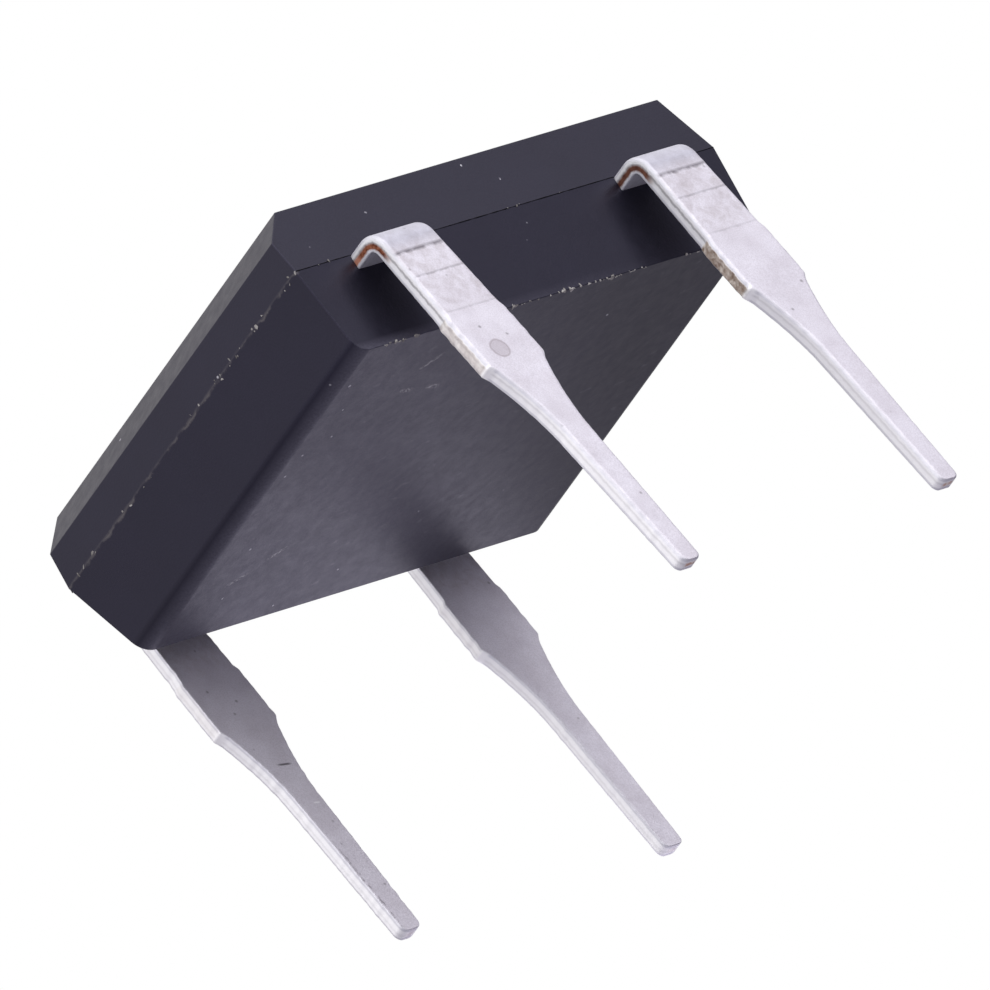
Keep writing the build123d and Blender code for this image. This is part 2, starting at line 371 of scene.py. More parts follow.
# Cut stubs: torn copper in brown, grey and cream behind a bright rim
in_rim = add_node(tree, "ShaderNodeMapRange", {0: uneven_depth, 1: 0.72, 2: 0.55}).outputs[0]
cut = add_node(tree, "ShaderNodeMath", {0: side, 1: 0.9}, operation="GREATER_THAN").outputs[0]
cut = add_node(tree, "ShaderNodeMath", {0: cut, 1: in_rim}, operation="MULTIPLY").outputs[0]
stub_cut = add_node(tree, "ShaderNodeMath", {0: cut, 1: stub}, operation="MULTIPLY").outputs[0]
brown = add_node(tree, "ShaderNodeMapRange", {0: torn, 1: 0.32, 2: 0.68}).outputs[0]
copper = add_node(
    tree, "ShaderNodeMix", {0: brown, 6: linear("#8f7663"), 7: linear("#cbbcb0")}, data_type="RGBA"
)
cream = add_node(tree, "ShaderNodeMapRange", {0: blotches, 1: 0.5, 2: 0.66, 3: 0.0, 4: 0.8}).outputs[0]
copper = add_node(
    tree, "ShaderNodeMix", {0: cream, 6: copper.outputs[2], 7: linear("#efe8df")}, data_type="RGBA"
)
colour = add_node(
    tree, "ShaderNodeMix", {0: stub_cut, 6: colour.outputs[2], 7: copper.outputs[2]}, data_type="RGBA"
)

# Foot of each stub: a painted highlight, a near-white line across the cut side where the cut ended
off = add_node(tree, "ShaderNodeMath", {0: height, 1: 0.02 * mm}, operation="ADD").outputs[0]
off = add_node(tree, "ShaderNodeMath", {0: off}, operation="ABSOLUTE").outputs[0]
foot = add_node(tree, "ShaderNodeMapRange", {0: off, 1: 0.03 * mm, 2: 0.07 * mm, 3: 0.9, 4: 0.0}).outputs[0]
foot = add_node(tree, "ShaderNodeMath", {0: foot, 1: side}, operation="MULTIPLY").outputs[0]
colour = add_node(
    tree, "ShaderNodeMix", {0: foot, 6: colour.outputs[2], 7: linear("#fbfafc")}, data_type="RGBA"
)

# Bend: a thin line of dark copper in the inner half of the side
off = add_node(tree, "ShaderNodeMath", {0: uneven_depth, 1: 0.1}, operation="ADD").outputs[0]
off = add_node(tree, "ShaderNodeMath", {0: off}, operation="ABSOLUTE").outputs[0]
line = add_node(tree, "ShaderNodeMapRange", {0: off, 1: 0.22, 2: 0.46, 3: 1.0, 4: 0.0}).outputs[0]
line = add_node(tree, "ShaderNodeMath", {0: line, 1: bend}, operation="MULTIPLY").outputs[0]
line = add_node(tree, "ShaderNodeMath", {0: line, 1: side}, operation="MULTIPLY").outputs[0]
copper = add_node(
    tree, "ShaderNodeMix", {0: brown, 6: linear("#6a3423"), 7: linear("#b4795f")}, data_type="RGBA"
)
one_lead = add_node(tree, "ShaderNodeMath", {0: across, 1: 0.0}, operation="LESS_THAN").outputs[0]
tarnish = add_node(tree, "ShaderNodeMapRange", {0: one_lead, 3: 0.6, 4: 0.0}).outputs[0]
copper = add_node(
    tree, "ShaderNodeMix", {0: tarnish, 6: copper.outputs[2], 7: linear("#6b4f49")}, data_type="RGBA"
)
at_wall = add_node(tree, "ShaderNodeMapRange", {0: out, 1: -3.27 * mm, 2: -3.19 * mm, 4: one_lead}).outputs[0]
copper = add_node(
    tree, "ShaderNodeMix", {0: at_wall, 6: copper.outputs[2], 7: linear("#d39a84")}, data_type="RGBA"
)
colour = add_node(
    tree, "ShaderNodeMix", {0: line, 6: colour.outputs[2], 7: copper.outputs[2]}, data_type="RGBA"
)

# Tips: copper between two skins of tin, drawn pale cream as a painted highlight of the light from below, more
# of it on the near row
off = add_node(tree, "ShaderNodeMath", {0: depth}, operation="ABSOLUTE").outputs[0]
near_tip = add_node(
    tree, "ShaderNodeMapRange", {0: out, 1: 1.0 * mm, 2: -1.0 * mm, 3: 0.15, 4: 0.9}
).outputs[0]
tip_core_painted_light = add_node(tree, "ShaderNodeMapRange", {0: off, 1: 0.5, 2: 0.2, 4: near_tip}).outputs[0]
tip_core_painted_light = add_node(tree, "ShaderNodeMath", {0: tip_core_painted_light, 1: tip}, operation="MULTIPLY").outputs[0]
copper = add_node(
    tree, "ShaderNodeMix", {0: brown, 6: linear("#c4937c"), 7: linear("#efe3dc")}, data_type="RGBA"
)
colour = add_node(
    tree, "ShaderNodeMix", {0: tip_core_painted_light, 6: colour.outputs[2], 7: copper.outputs[2]}, data_type="RGBA"
)

rough = add_node(tree, "ShaderNodeMapRange", {0: blotches, 1: 0.35, 2: 0.65, 3: 0.66, 4: 0.74}).outputs[0]
relief = add_node(
    tree, "ShaderNodeMath", {0: tool_lines_and_shade, 1: -2.0, 2: grain}, operation="MULTIPLY_ADD"
).outputs[0]
relief = add_node(
    tree, "ShaderNodeMath", {0: blotched, 1: -1.5, 2: relief}, operation="MULTIPLY_ADD"
).outputs[0]
rugged = add_node(tree, "ShaderNodeMath", {0: torn, 1: stub_cut}, operation="MULTIPLY").outputs[0]
relief = add_node(tree, "ShaderNodeMath", {0: rugged, 1: 4.0, 2: relief}, operation="MULTIPLY_ADD").outputs[0]
bump = add_node(tree, "ShaderNodeBump", {"Strength": 0.3, "Distance": 0.006 * mm, "Height": relief})
surface = add_node(
    tree,
    "ShaderNodeBsdfPrincipled",
    {"Base Color": colour.outputs[2], "Roughness": rough, "Normal": bump.outputs[0], "Metallic": 1.0},
)
add_node(tree, "ShaderNodeOutputMaterial", {"Surface": surface.outputs[0]})

# Each lead by name, its row and side, how far it splays and leans in degrees, and how torn its stubs are
leads = (
    ("lead_positive", -1, -1, 0.7, 2.1, 0.4),
    ("lead_negative", -1, 1, 0.7, 1.4, 0.9),
    ("lead_ac_1", 1, -1, 0.1, -0.3, 0.1),
    ("lead_ac_2", 1, 1, 0.1, -0.2, 0.05),
)
for number, (name, row, column, splay, lean, torn) in enumerate(leads):
    mesh = bmesh.new()
    mesh.from_mesh(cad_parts[name].data)
    bmesh.ops.remove_doubles(mesh, verts=mesh.verts, dist=merge_gap)
    whole = mesh.verts[:] + mesh.edges[:] + mesh.faces[:]
    wall = Vector((0, row * frame_cut, 0))
    bmesh.ops.bisect_plane(mesh, geom=whole, plane_co=wall, plane_no=(0, row, 0), clear_outer=True)
    rim = [edge for edge in mesh.edges if edge.is_boundary]
    bmesh.ops.edgeloop_fill(mesh, edges=rim)
    grow_leg(mesh, row, column * lead_pitch / 2, math.radians(splay), math.radians(lean), torn, number)
    bmesh.ops.recalc_face_normals(mesh, faces=mesh.faces)
    lead = bpy.data.objects.new(f"{name}_formed", bpy.data.meshes.new(f"{name}_formed"))
    mesh.to_mesh(lead.data)
    mesh.free()
    scene.collection.objects.link(lead)
    lead.data.materials.append(tin)
    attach(lead, "root")
    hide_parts(name)


# Dice and solder
# Four silicon dice sawn from a wafer, each held between a pad and a bar of the lead frames by two thin
# layers of soft solder. They lie inside the body and keep the forms of the solids.
# Sawn silicon is a dark blue-grey with fine streaks, and soft solder a pale, dull metal.
silicon = bpy.data.materials.new("Sawn_silicon")
solder = bpy.data.materials.new("Soft_solder")
for finish, dark, light, metal, size in (
    (silicon, "#3a3d45", "#4b4f59", 0.0, 0.02),
    (solder, "#8f9093", "#b4b5b8", 1.0, 0.06),
):
    finish.use_nodes = True
    tree = finish.node_tree
    tree.nodes.clear()
    place = add_node(tree, "ShaderNodeTexCoord").outputs["Object"]
    values = {"Vector": place, "Scale": 1 / (size * mm), "Detail": 3.0}
    streaks = add_node(tree, "ShaderNodeTexNoise", values).outputs[0]
    colour = add_node(
        tree, "ShaderNodeMix", {0: streaks, 6: linear(dark), 7: linear(light)}, data_type="RGBA"
    )
    rough = add_node(tree, "ShaderNodeMapRange", {0: streaks, 3: 0.3, 4: 0.5}).outputs[0]
    surface = add_node(
        tree,
        "ShaderNodeBsdfPrincipled",
        {"Base Color": colour.outputs[2], "Roughness": rough, "Metallic": metal},
    )
    add_node(tree, "ShaderNodeOutputMaterial", {"Surface": surface.outputs[0]})
for name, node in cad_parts.items():
    if name.startswith("diode"):
        node.data.materials.clear()
        node.data.materials.append(solder if name.endswith("solder") else silicon)


# Moulded body
# One block of filled black epoxy, pressed hot round the lead frames in a two-part steel mould, so its sides
# slope away from the parting line. The mould was spark eroded, which leaves a fine matt grain.
parting_height = 2.51 * mm
edge_radius = 0.012 * mm
edge_segments = 3
ray_gap = 0.001 * mm
flat_angle = math.radians(1)
bevel_angle = math.radians(20)
crisp_angle = math.radians(35)
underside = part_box("moulded_body")[0][2]
mesh = bmesh.new()
mesh.from_mesh(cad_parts["moulded_body"].data)
bmesh.ops.remove_doubles(mesh, verts=mesh.verts, dist=merge_gap)
bmesh.ops.dissolve_limit(mesh, angle_limit=flat_angle, verts=mesh.verts, edges=mesh.edges)
mesh.normal_update()
tree_of_faces = BVHTree.FromBMesh(mesh)
outside = set()
for face in mesh.faces:
    start = face.calc_center_median() + face.normal * ray_gap
    if tree_of_faces.ray_cast(start, face.normal)[0] is None:
        outside.add(face)
moulded_edges = [
    edge
    for edge in mesh.edges
    if edge.is_manifold
    and outside.issuperset(edge.link_faces)
    and edge.calc_face_angle() > bevel_angle
]
bmesh.ops.bevel(
    mesh, geom=moulded_edges, offset=edge_radius, segments=edge_segments, profile=0.5, affect="EDGES"
)
for face in mesh.faces:
    face.smooth = True
for edge in mesh.edges:
    on_parting = all(abs(vert.co.z - parting_height) < merge_gap for vert in edge.verts)
    edge.smooth = not on_parting and edge.is_manifold and edge.calc_face_angle() < crisp_angle
body = bpy.data.objects.new("body_epoxy", bpy.data.meshes.new("body_epoxy"))
mesh.to_mesh(body.data)
mesh.free()
scene.collection.objects.link(body)
flat = body.modifiers.new("Even_faces", "WEIGHTED_NORMAL")
flat.keep_sharp = True

# Black epoxy with mineral filler: blue-black, a soft grey sheen off the grain, a few pale specks where filler
# shows, and a violet-grey of painted light that lightens the underside, strongest at the bevelled end, where
# it is also rougher from rubbing on a tray.
epoxy = bpy.data.materials.new("Filled_epoxy_moulding")
epoxy.use_nodes = True
tree = epoxy.node_tree
tree.nodes.clear()
place = add_node(tree, "ShaderNodeTexCoord").outputs["Object"]
reach = add_node(tree, "ShaderNodeSeparateXYZ", {0: place}).outputs
# Noises by size in mm and detail
noises = []
for size, detail in ((0.9, 4.0), (0.16, 3.0), (0.035, 3.0)):
    values = {"Vector": place, "Scale": 1 / (size * mm), "Detail": detail}
    noises.append(add_node(tree, "ShaderNodeTexNoise", values).outputs[0])
clouds, smudges, grain = noises
colour = add_node(
    tree, "ShaderNodeMix", {0: clouds, 6: linear("#0e0d13"), 7: linear("#171620")}, data_type="RGBA"
)

# Painted light on the underside: a patchy violet-grey that lightens it towards the bevelled end
across = add_node(tree, "ShaderNodeMath", {0: reach["Y"], 1: -0.35, 2: reach["X"]}, operation="MULTIPLY_ADD")
rub_and_painted_light = add_node(tree, "ShaderNodeMapRange", {0: across.outputs[0], 1: 3.2 * mm, 2: -4.0 * mm}).outputs[0]
under = {0: reach["Z"], 1: underside + 0.14 * mm, 2: underside, 4: rub_and_painted_light}
rub_and_painted_light = add_node(tree, "ShaderNodeMapRange", under).outputs[0]
patchy = add_node(tree, "ShaderNodeMapRange", {0: clouds, 1: 0.3, 2: 0.7, 3: 0.75, 4: 1.0}).outputs[0]
patchy = add_node(tree, "ShaderNodeMath", {0: patchy, 1: rub_and_painted_light}, operation="MULTIPLY").outputs[0]
gritty = add_node(tree, "ShaderNodeMapRange", {0: grain, 1: 0.35, 2: 0.65, 3: 0.7, 4: 1.0}).outputs[0]
underside_painted_light = add_node(tree, "ShaderNodeMath", {0: patchy, 1: gritty}, operation="MULTIPLY").outputs[0]
colour = add_node(
    tree, "ShaderNodeMix", {0: underside_painted_light, 6: colour.outputs[2], 7: linear("#55535f")}, data_type="RGBA"
)

# Pale scuffs on the underside, all drawn one way
drawn = {"Vector": place, "Rotation": (0, 0, 0.9), "Scale": (1 / (0.3 * mm), 1 / (0.16 * mm), 1 / (0.3 * mm))}
drawn = add_node(tree, "ShaderNodeMapping", drawn).outputs[0]
scuffs = add_node(tree, "ShaderNodeTexNoise", {"Vector": drawn, "Scale": 1.0, "Detail": 3.0}).outputs[0]
flat_part = add_node(
    tree, "ShaderNodeMapRange", {0: reach["Z"], 1: underside + 0.02 * mm, 2: underside, 4: 0.4}
).outputs[0]
scuffs = add_node(tree, "ShaderNodeMapRange", {0: scuffs, 1: 0.66, 2: 0.84, 3: 0.0, 4: flat_part}).outputs[0]
scuffs = add_node(tree, "ShaderNodeMath", {0: scuffs, 1: gritty}, operation="MULTIPLY").outputs[0]
colour = add_node(
    tree, "ShaderNodeMix", {0: scuffs, 6: colour.outputs[2], 7: linear("#8d8b93")}, data_type="RGBA"
)

# Scratches on the underside with broken filler in them, each from one place to another in mm
strokes = (
    ((-2.35, -1.70, 0), (-2.00, -1.64, 0)),
    ((-1.75, -1.62, 0), (-1.40, -1.54, 0)),
    ((-2.25, -2.07, 0), (-1.85, -2.34, 0)),
    ((-3.20, 1.92, 0), (-2.80, 1.73, 0)),
    ((-2.62, 1.55, 0), (-2.30, 1.36, 0)),
)
scratch_half = 0.05 * mm
broken = add_node(tree, "ShaderNodeMapRange", {0: grain, 1: 0.42, 2: 0.6, 4: flat_part}).outputs[0]
for start, end in strokes:
    run = (Vector(end) - Vector(start)) * mm
    off = {0: place, 1: -Vector(start) * mm - run / 2}
    off = add_node(tree, "ShaderNodeVectorMath", off, operation="ADD").outputs[0]
    along = run.normalized()
    mark = broken
    for way, half in ((along, run.length / 2), (Vector((-along.y, along.x, 0)), scratch_half)):
        length = add_node(
            tree, "ShaderNodeVectorMath", {0: off, 1: way}, operation="DOT_PRODUCT"
        ).outputs["Value"]
        length = add_node(tree, "ShaderNodeMath", {0: length}, operation="ABSOLUTE").outputs[0]
        mark = add_node(
            tree, "ShaderNodeMapRange", {0: length, 1: half / 3, 2: half, 3: mark, 4: 0.0}
        ).outputs[0]
    colour = add_node(
        tree, "ShaderNodeMix", {0: mark, 6: colour.outputs[2], 7: linear("#d6d3d2")}, data_type="RGBA"
    )

# Dusty line along the joint of the mould at both ends
wander = {0: smudges, 1: 0.12 * mm, 2: reach["Z"]}
wander = add_node(tree, "ShaderNodeMath", wander, operation="MULTIPLY_ADD").outputs[0]
off = {0: wander, 1: parting_height + 0.06 * mm}
off = add_node(tree, "ShaderNodeMath", off, operation="SUBTRACT").outputs[0]
off = add_node(tree, "ShaderNodeMath", {0: off}, operation="ABSOLUTE").outputs[0]
dusty = add_node(tree, "ShaderNodeMapRange", {0: smudges, 1: 0.42, 2: 0.62, 3: 0.06, 4: 0.42}).outputs[0]
at_end = add_node(tree, "ShaderNodeMath", {0: reach["X"]}, operation="ABSOLUTE").outputs[0]
at_end = {0: at_end, 1: 4.14 * mm, 2: 4.18 * mm, 4: dusty}
at_end = add_node(tree, "ShaderNodeMapRange", at_end).outputs[0]
joint = add_node(tree, "ShaderNodeMapRange", {0: off, 1: 0.0, 2: 0.03 * mm, 3: at_end, 4: 0.0}).outputs[0]
colour = add_node(
    tree, "ShaderNodeMix", {0: joint, 6: colour.outputs[2], 7: linear("#7a7571")}, data_type="RGBA"
)

# Pale specks of filler, uneven in size and mostly in drifts
cells = add_node(tree, "ShaderNodeTexVoronoi", {"Vector": place, "Scale": 1 / (0.2 * mm)})
tone = add_node(tree, "ShaderNodeSeparateColor", {0: cells.outputs["Color"]}).outputs
ragged = add_node(
    tree, "ShaderNodeMath", {0: grain, 1: 0.12, 2: cells.outputs["Distance"]}, operation="MULTIPLY_ADD"
)
size = add_node(tree, "ShaderNodeMapRange", {0: tone[1], 3: 0.08, 4: 0.17}).outputs[0]
dot = add_node(tree, "ShaderNodeMath", {0: ragged.outputs[0], 1: size}, operation="LESS_THAN").outputs[0]
drift = add_node(tree, "ShaderNodeMapRange", {0: clouds, 1: 0.45, 2: 0.62, 3: 0.985, 4: 0.86}).outputs[0]
by_bevel = add_node(
    tree, "ShaderNodeMapRange", {0: reach["X"], 1: -2.9 * mm, 2: -3.7 * mm, 4: flat_part}
).outputs[0]
drift = add_node(
    tree, "ShaderNodeMath", {0: by_bevel, 1: -1.5, 2: drift}, operation="MULTIPLY_ADD"
).outputs[0]
rare = add_node(tree, "ShaderNodeMath", {0: tone[0], 1: drift}, operation="GREATER_THAN").outputs[0]
speck = add_node(tree, "ShaderNodeMath", {0: dot, 1: rare}, operation="MULTIPLY").outputs[0]
pale = add_node(
    tree, "ShaderNodeMix", {0: tone[2], 6: linear("#55535c"), 7: linear("#bcbac1")}, data_type="RGBA"
)
colour = add_node(
    tree, "ShaderNodeMix", {0: speck, 6: colour.outputs[2], 7: pale.outputs[2]}, data_type="RGBA"
)

rough = add_node(tree, "ShaderNodeMapRange", {0: smudges, 1: 0.3, 2: 0.7, 3: 0.36, 4: 0.44}).outputs[0]
rough = add_node(tree, "ShaderNodeMath", {0: rub_and_painted_light, 1: 0.14, 2: rough}, operation="MULTIPLY_ADD").outputs[0]
bump = add_node(tree, "ShaderNodeBump", {"Strength": 0.3, "Distance": 0.006 * mm, "Height": grain})
surface = add_node(
    tree,
    "ShaderNodeBsdfPrincipled",
    {"Base Color": colour.outputs[2], "Roughness": rough, "Normal": bump.outputs[0], "IOR": 1.5},
)
surface.inputs["Specular IOR Level"].default_value = 0.5
surface.inputs["Specular Tint"].default_value = linear("#d9d4ff")
add_node(tree, "ShaderNodeOutputMaterial", {"Surface": surface.outputs[0]})
body.data.materials.append(epoxy)
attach(body, "root")
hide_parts("moulded_body")


# Flash and crumbs
# A hair of resin that squeezed out between the two halves of the mould along both long sides, but for the
# leads, drawn near black and dull as a dark line of painted shade, and dry crumbs of resin and filler that
# cling to the parting line and to the near lower edge.
body_low, body_high = [Vector(corner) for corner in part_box("moulded_body")]
wall_y = 3.13 * mm
lead_edge = 0.49 * mm
low_end = 3.80 * mm
low_side = 2.965 * mm
edge_gap = 0.01 * mm


def path_object(name, runs):
    """Curve object with one straight spline for each run between two points."""
    curve = bpy.data.curves.new(name, "CURVE")
    curve.dimensions = "3D"
    for ends in runs:
        spline = curve.splines.new("POLY")
        spline.points.add(1)
        for point, end in zip(spline.points, ends):
            point.co = (*end, 1)
    made = bpy.data.objects.new(name, curve)
    scene.collection.objects.link(made)
    return made


def grown_mesh(carrier, tree, values):
    """Plain mesh that a node tree makes of a carrier, which is removed. Values go by input name."""
    modifier = carrier.modifiers.new("Growth", "NODES")
    modifier.node_group = tree
    for item in tree.interface.items_tree:
        if item.in_out == "INPUT" and item.name in values:
            modifier[item.identifier] = values[item.name]
    carrier.update_tag()
    graph = bpy.context.evaluated_depsgraph_get()
    mesh = bpy.data.meshes.new_from_object(carrier.evaluated_get(graph))
    bpy.data.objects.remove(carrier)
    return mesh


def growth_tree(name, sizes):
    """Empty node tree that takes a path, its own sizes, the limits it has to stay in, and a finish."""
    made = bpy.data.node_groups.new(name, "GeometryNodeTree")
    made.interface.new_socket("Geometry", in_out="INPUT", socket_type="NodeSocketGeometry")
    for label, kind in (*sizes, ("Low", "Vector"), ("High", "Vector"), ("Finish", "Material")):
        made.interface.new_socket(label, in_out="INPUT", socket_type=f"NodeSocket{kind}")
    made.interface.new_socket("Geometry", in_out="OUTPUT", socket_type="NodeSocketGeometry")
    return made


flash_tree = growth_tree("Flash_hair", (("Step", "Float"), ("Radius", "Float")))
given = add_node(flash_tree, "NodeGroupInput").outputs
steps = {"Curve": given["Geometry"], "Length": given["Step"]}
line = add_node(flash_tree, "GeometryNodeResampleCurve", steps, mode="LENGTH")
where = add_node(flash_tree, "GeometryNodeInputPosition").outputs[0]
wave = {"Vector": where, "Scale": 1 / (0.11 * mm), "Detail": 3.0}
uneven = add_node(flash_tree, "ShaderNodeTexNoise", wave).outputs[0]
uneven = add_node(flash_tree, "ShaderNodeMapRange", {0: uneven, 1: 0.3, 2: 0.75, 3: 0.35, 4: 1.0}).outputs[0]
ring = add_node(flash_tree, "GeometryNodeCurvePrimitiveCircle", {"Resolution": 6, "Radius": given["Radius"]})
hair = add_node(
    flash_tree,
    "GeometryNodeCurveToMesh",
    {"Curve": line.outputs[0], "Profile Curve": ring.outputs[0], "Scale": uneven, "Fill Caps": True},
)
solid = add_node(flash_tree, "GeometryNodeRealizeInstances", {0: hair.outputs[0]})
kept_in = add_node(
    flash_tree, "ShaderNodeVectorMath", {0: where, 1: given["Low"]}, operation="MAXIMUM"
).outputs[0]
kept_in = add_node(
    flash_tree, "ShaderNodeVectorMath", {0: kept_in, 1: given["High"]}, operation="MINIMUM"
).outputs[0]
inside = add_node(flash_tree, "GeometryNodeSetPosition", {"Geometry": solid.outputs[0], "Position": kept_in})
coated = add_node(
    flash_tree, "GeometryNodeSetMaterial", {"Geometry": inside.outputs[0], "Material": given["Finish"]}
)
add_node(flash_tree, "NodeGroupOutput", {0: coated.outputs[0]})

crumb_sizes = (("Step", "Float"), ("Kept", "Float"), ("Size", "Float"), ("Scatter", "Float"), ("Seed", "Int"))
crumb_tree = growth_tree("Crumbs_on_edges", crumb_sizes)
given = add_node(crumb_tree, "NodeGroupInput").outputs
steps = {"Curve": given["Geometry"], "Length": given["Step"]}
line = add_node(crumb_tree, "GeometryNodeResampleCurve", steps, mode="LENGTH")
where = add_node(crumb_tree, "GeometryNodeInputPosition").outputs[0]
# One seed for each random draw
seeds = [
    add_node(crumb_tree, "ShaderNodeMath", {0: given["Seed"], 1: 10.0 * i}, operation="ADD").outputs[0]
    for i in range(5)
]
random = "FunctionNodeRandomValue"

# Crumbs lie in drifts along their line, many small and a few large
drift = add_node(
    crumb_tree, "ShaderNodeTexNoise", {"Vector": where, "Scale": 1 / (0.6 * mm), "Detail": 2.0}
).outputs[0]
chance = add_node(crumb_tree, "ShaderNodeMapRange", {0: drift, 1: 0.4, 2: 0.62, 4: given["Kept"]}).outputs[0]
draw = add_node(crumb_tree, random, {2: 0.0, 3: 1.0, "Seed": seeds[0]}, data_type="FLOAT").outputs[1]
kept = add_node(
    crumb_tree, "FunctionNodeCompare", {0: draw, 1: chance}, data_type="FLOAT", operation="LESS_THAN"
)
box = {0: (-1, -1, -1), 1: (1, 1, 1), "Seed": seeds[1]}
shift = add_node(crumb_tree, random, box, data_type="FLOAT_VECTOR").outputs[0]
shift = add_node(
    crumb_tree, "ShaderNodeVectorMath", {0: shift, "Scale": given["Scatter"]}, operation="SCALE"
).outputs[0]
spread = add_node(crumb_tree, "GeometryNodeSetPosition", {"Geometry": line.outputs[0], "Offset": shift})
kept_in = add_node(
    crumb_tree, "ShaderNodeVectorMath", {0: where, 1: given["Low"]}, operation="MAXIMUM"
).outputs[0]
kept_in = add_node(
    crumb_tree, "ShaderNodeVectorMath", {0: kept_in, 1: given["High"]}, operation="MINIMUM"
).outputs[0]
spread = add_node(crumb_tree, "GeometryNodeSetPosition", {"Geometry": spread.outputs[0], "Position": kept_in})
any_way = {0: (0, 0, 0), 1: (6.3, 6.3, 6.3), "Seed": seeds[2]}
turn = add_node(crumb_tree, random, any_way, data_type="FLOAT_VECTOR").outputs[0]
flake = {0: (0.5, 0.3, 0.15), 1: (1.0, 0.6, 0.4), "Seed": seeds[3]}
form = add_node(crumb_tree, random, flake, data_type="FLOAT_VECTOR").outputs[0]
share = add_node(crumb_tree, random, {2: 0.0, 3: 1.0, "Seed": seeds[4]}, data_type="FLOAT").outputs[1]
share = add_node(crumb_tree, "ShaderNodeMath", {0: share, 1: 3.0}, operation="POWER").outputs[0]
share = add_node(crumb_tree, "ShaderNodeMapRange", {0: share, 3: 0.3, 4: 1.0}).outputs[0]
form = add_node(crumb_tree, "ShaderNodeVectorMath", {0: form, "Scale": share}, operation="SCALE").outputs[0]
crumb = add_node(crumb_tree, "GeometryNodeMeshIcoSphere", {"Radius": given["Size"], "Subdivisions": 1})
laid = add_node(
    crumb_tree,
    "GeometryNodeInstanceOnPoints",
    {
        "Points": spread.outputs[0],
        "Selection": kept.outputs[0],
        "Instance": crumb.outputs[0],
        "Rotation": turn,
        "Scale": form,
    },
)
solid = add_node(crumb_tree, "GeometryNodeRealizeInstances", {0: laid.outputs[0]})
inside = add_node(crumb_tree, "GeometryNodeSetPosition", {"Geometry": solid.outputs[0], "Position": kept_in})
coated = add_node(
    crumb_tree, "GeometryNodeSetMaterial", {"Geometry": inside.outputs[0], "Material": given["Finish"]}
)
add_node(crumb_tree, "NodeGroupOutput", {0: coated.outputs[0]})

# Flash resin: near black and dull, so that the hair draws a dark line of painted shade along the parting
# line.
flash_shade_resin = bpy.data.materials.new("Flash_resin_painted_shade")
# Dry resin dust: broken filler grains, brown-grey to cream and dull.
dust = bpy.data.materials.new("Dry_resin_dust")
# Chalky filler on the lower edge, where the skin is broken: paler than the dust.
chalk = bpy.data.materials.new("Broken_filler")
finishes = (
    (flash_shade_resin, "#060608", "#131217", 0.05),
    (dust, "#5b5756", "#a6a2a1", 0.15),
    (chalk, "#7a7674", "#bfbbb9", 0.15),
)
for finish, dark, light, size in finishes:
    finish.use_nodes = True
    tree = finish.node_tree
    tree.nodes.clear()
    place = add_node(tree, "ShaderNodeTexCoord").outputs["Object"]
    values = {"Vector": place, "Scale": 1 / (size * mm), "Detail": 3.0}
    blotch = add_node(tree, "ShaderNodeTexNoise", values).outputs[0]
    share = add_node(tree, "ShaderNodeMapRange", {0: blotch, 1: 0.35, 2: 0.65}).outputs[0]
    colour = add_node(tree, "ShaderNodeMix", {0: share, 6: linear(dark), 7: linear(light)}, data_type="RGBA")
    rough = add_node(tree, "ShaderNodeMapRange", {0: blotch, 3: 0.8, 4: 1.0}).outputs[0]
    surface = add_node(
        tree, "ShaderNodeBsdfPrincipled", {"Base Color": colour.outputs[2], "Roughness": rough}
    )
    surface.inputs["Specular IOR Level"].default_value = 0.1
    add_node(tree, "ShaderNodeOutputMaterial", {"Surface": surface.outputs[0]})

# Runs along the parting line between the leads, across both ends, and along the near lower edge
near_lead = lead_pitch / 2 - lead_edge
far_lead = lead_pitch / 2 + lead_edge
end_x = body_high.x - edge_gap
spans = ((-end_x, -far_lead), (-near_lead, near_lead), (far_lead, end_x))
sides = [
    ((low, row * wall_y, parting_height), (high, row * wall_y, parting_height))
    for row in (-1, 1)
    for low, high in spans
]
ends = [((end * end_x, -wall_y, parting_height), (end * end_x, wall_y, parting_height)) for end in (-1, 1)]
low_y = edge_gap - low_side
low_edge = [((-low_end, low_y, underside), (low_end, low_y, underside))]
proud = 0.01 * mm
limits = {"Low": body_low - Vector((0, proud, proud)), "High": body_high + Vector((0, proud, 0))}
side_sizes = {"Step": 0.04, "Kept": 0.4, "Size": 0.05, "Scatter": 0.012, "Seed": 3}
end_sizes = {"Step": 0.025, "Kept": 0.36, "Size": 0.08, "Scatter": 0.045, "Seed": 8}
low_sizes = {"Step": 0.03, "Kept": 0.7, "Size": 0.075, "Scatter": 0.014, "Seed": 5}
growths = (
    # The flash hair draws the dark line of painted shade along the parting line
    ("side_flash_shade_line", sides, flash_tree, {"Step": 0.04, "Radius": 0.009}, flash_shade_resin),
    ("side_crumbs", sides, crumb_tree, side_sizes, dust),
    ("end_crumbs", ends, crumb_tree, end_sizes, dust),
    ("low_crumbs", low_edge, crumb_tree, low_sizes, chalk),
)
in_mm = ("Step", "Radius", "Size", "Scatter")
for name, runs, growth, values, finish in growths:
    lengths = {key: value * mm if key in in_mm else value for key, value in values.items()}
    grown = grown_mesh(path_object(f"{name}_path", runs), growth, {**lengths, **limits, "Finish": finish})
    piece = bpy.data.objects.new(name, grown)
    scene.collection.objects.link(piece)
    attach(piece, "root")


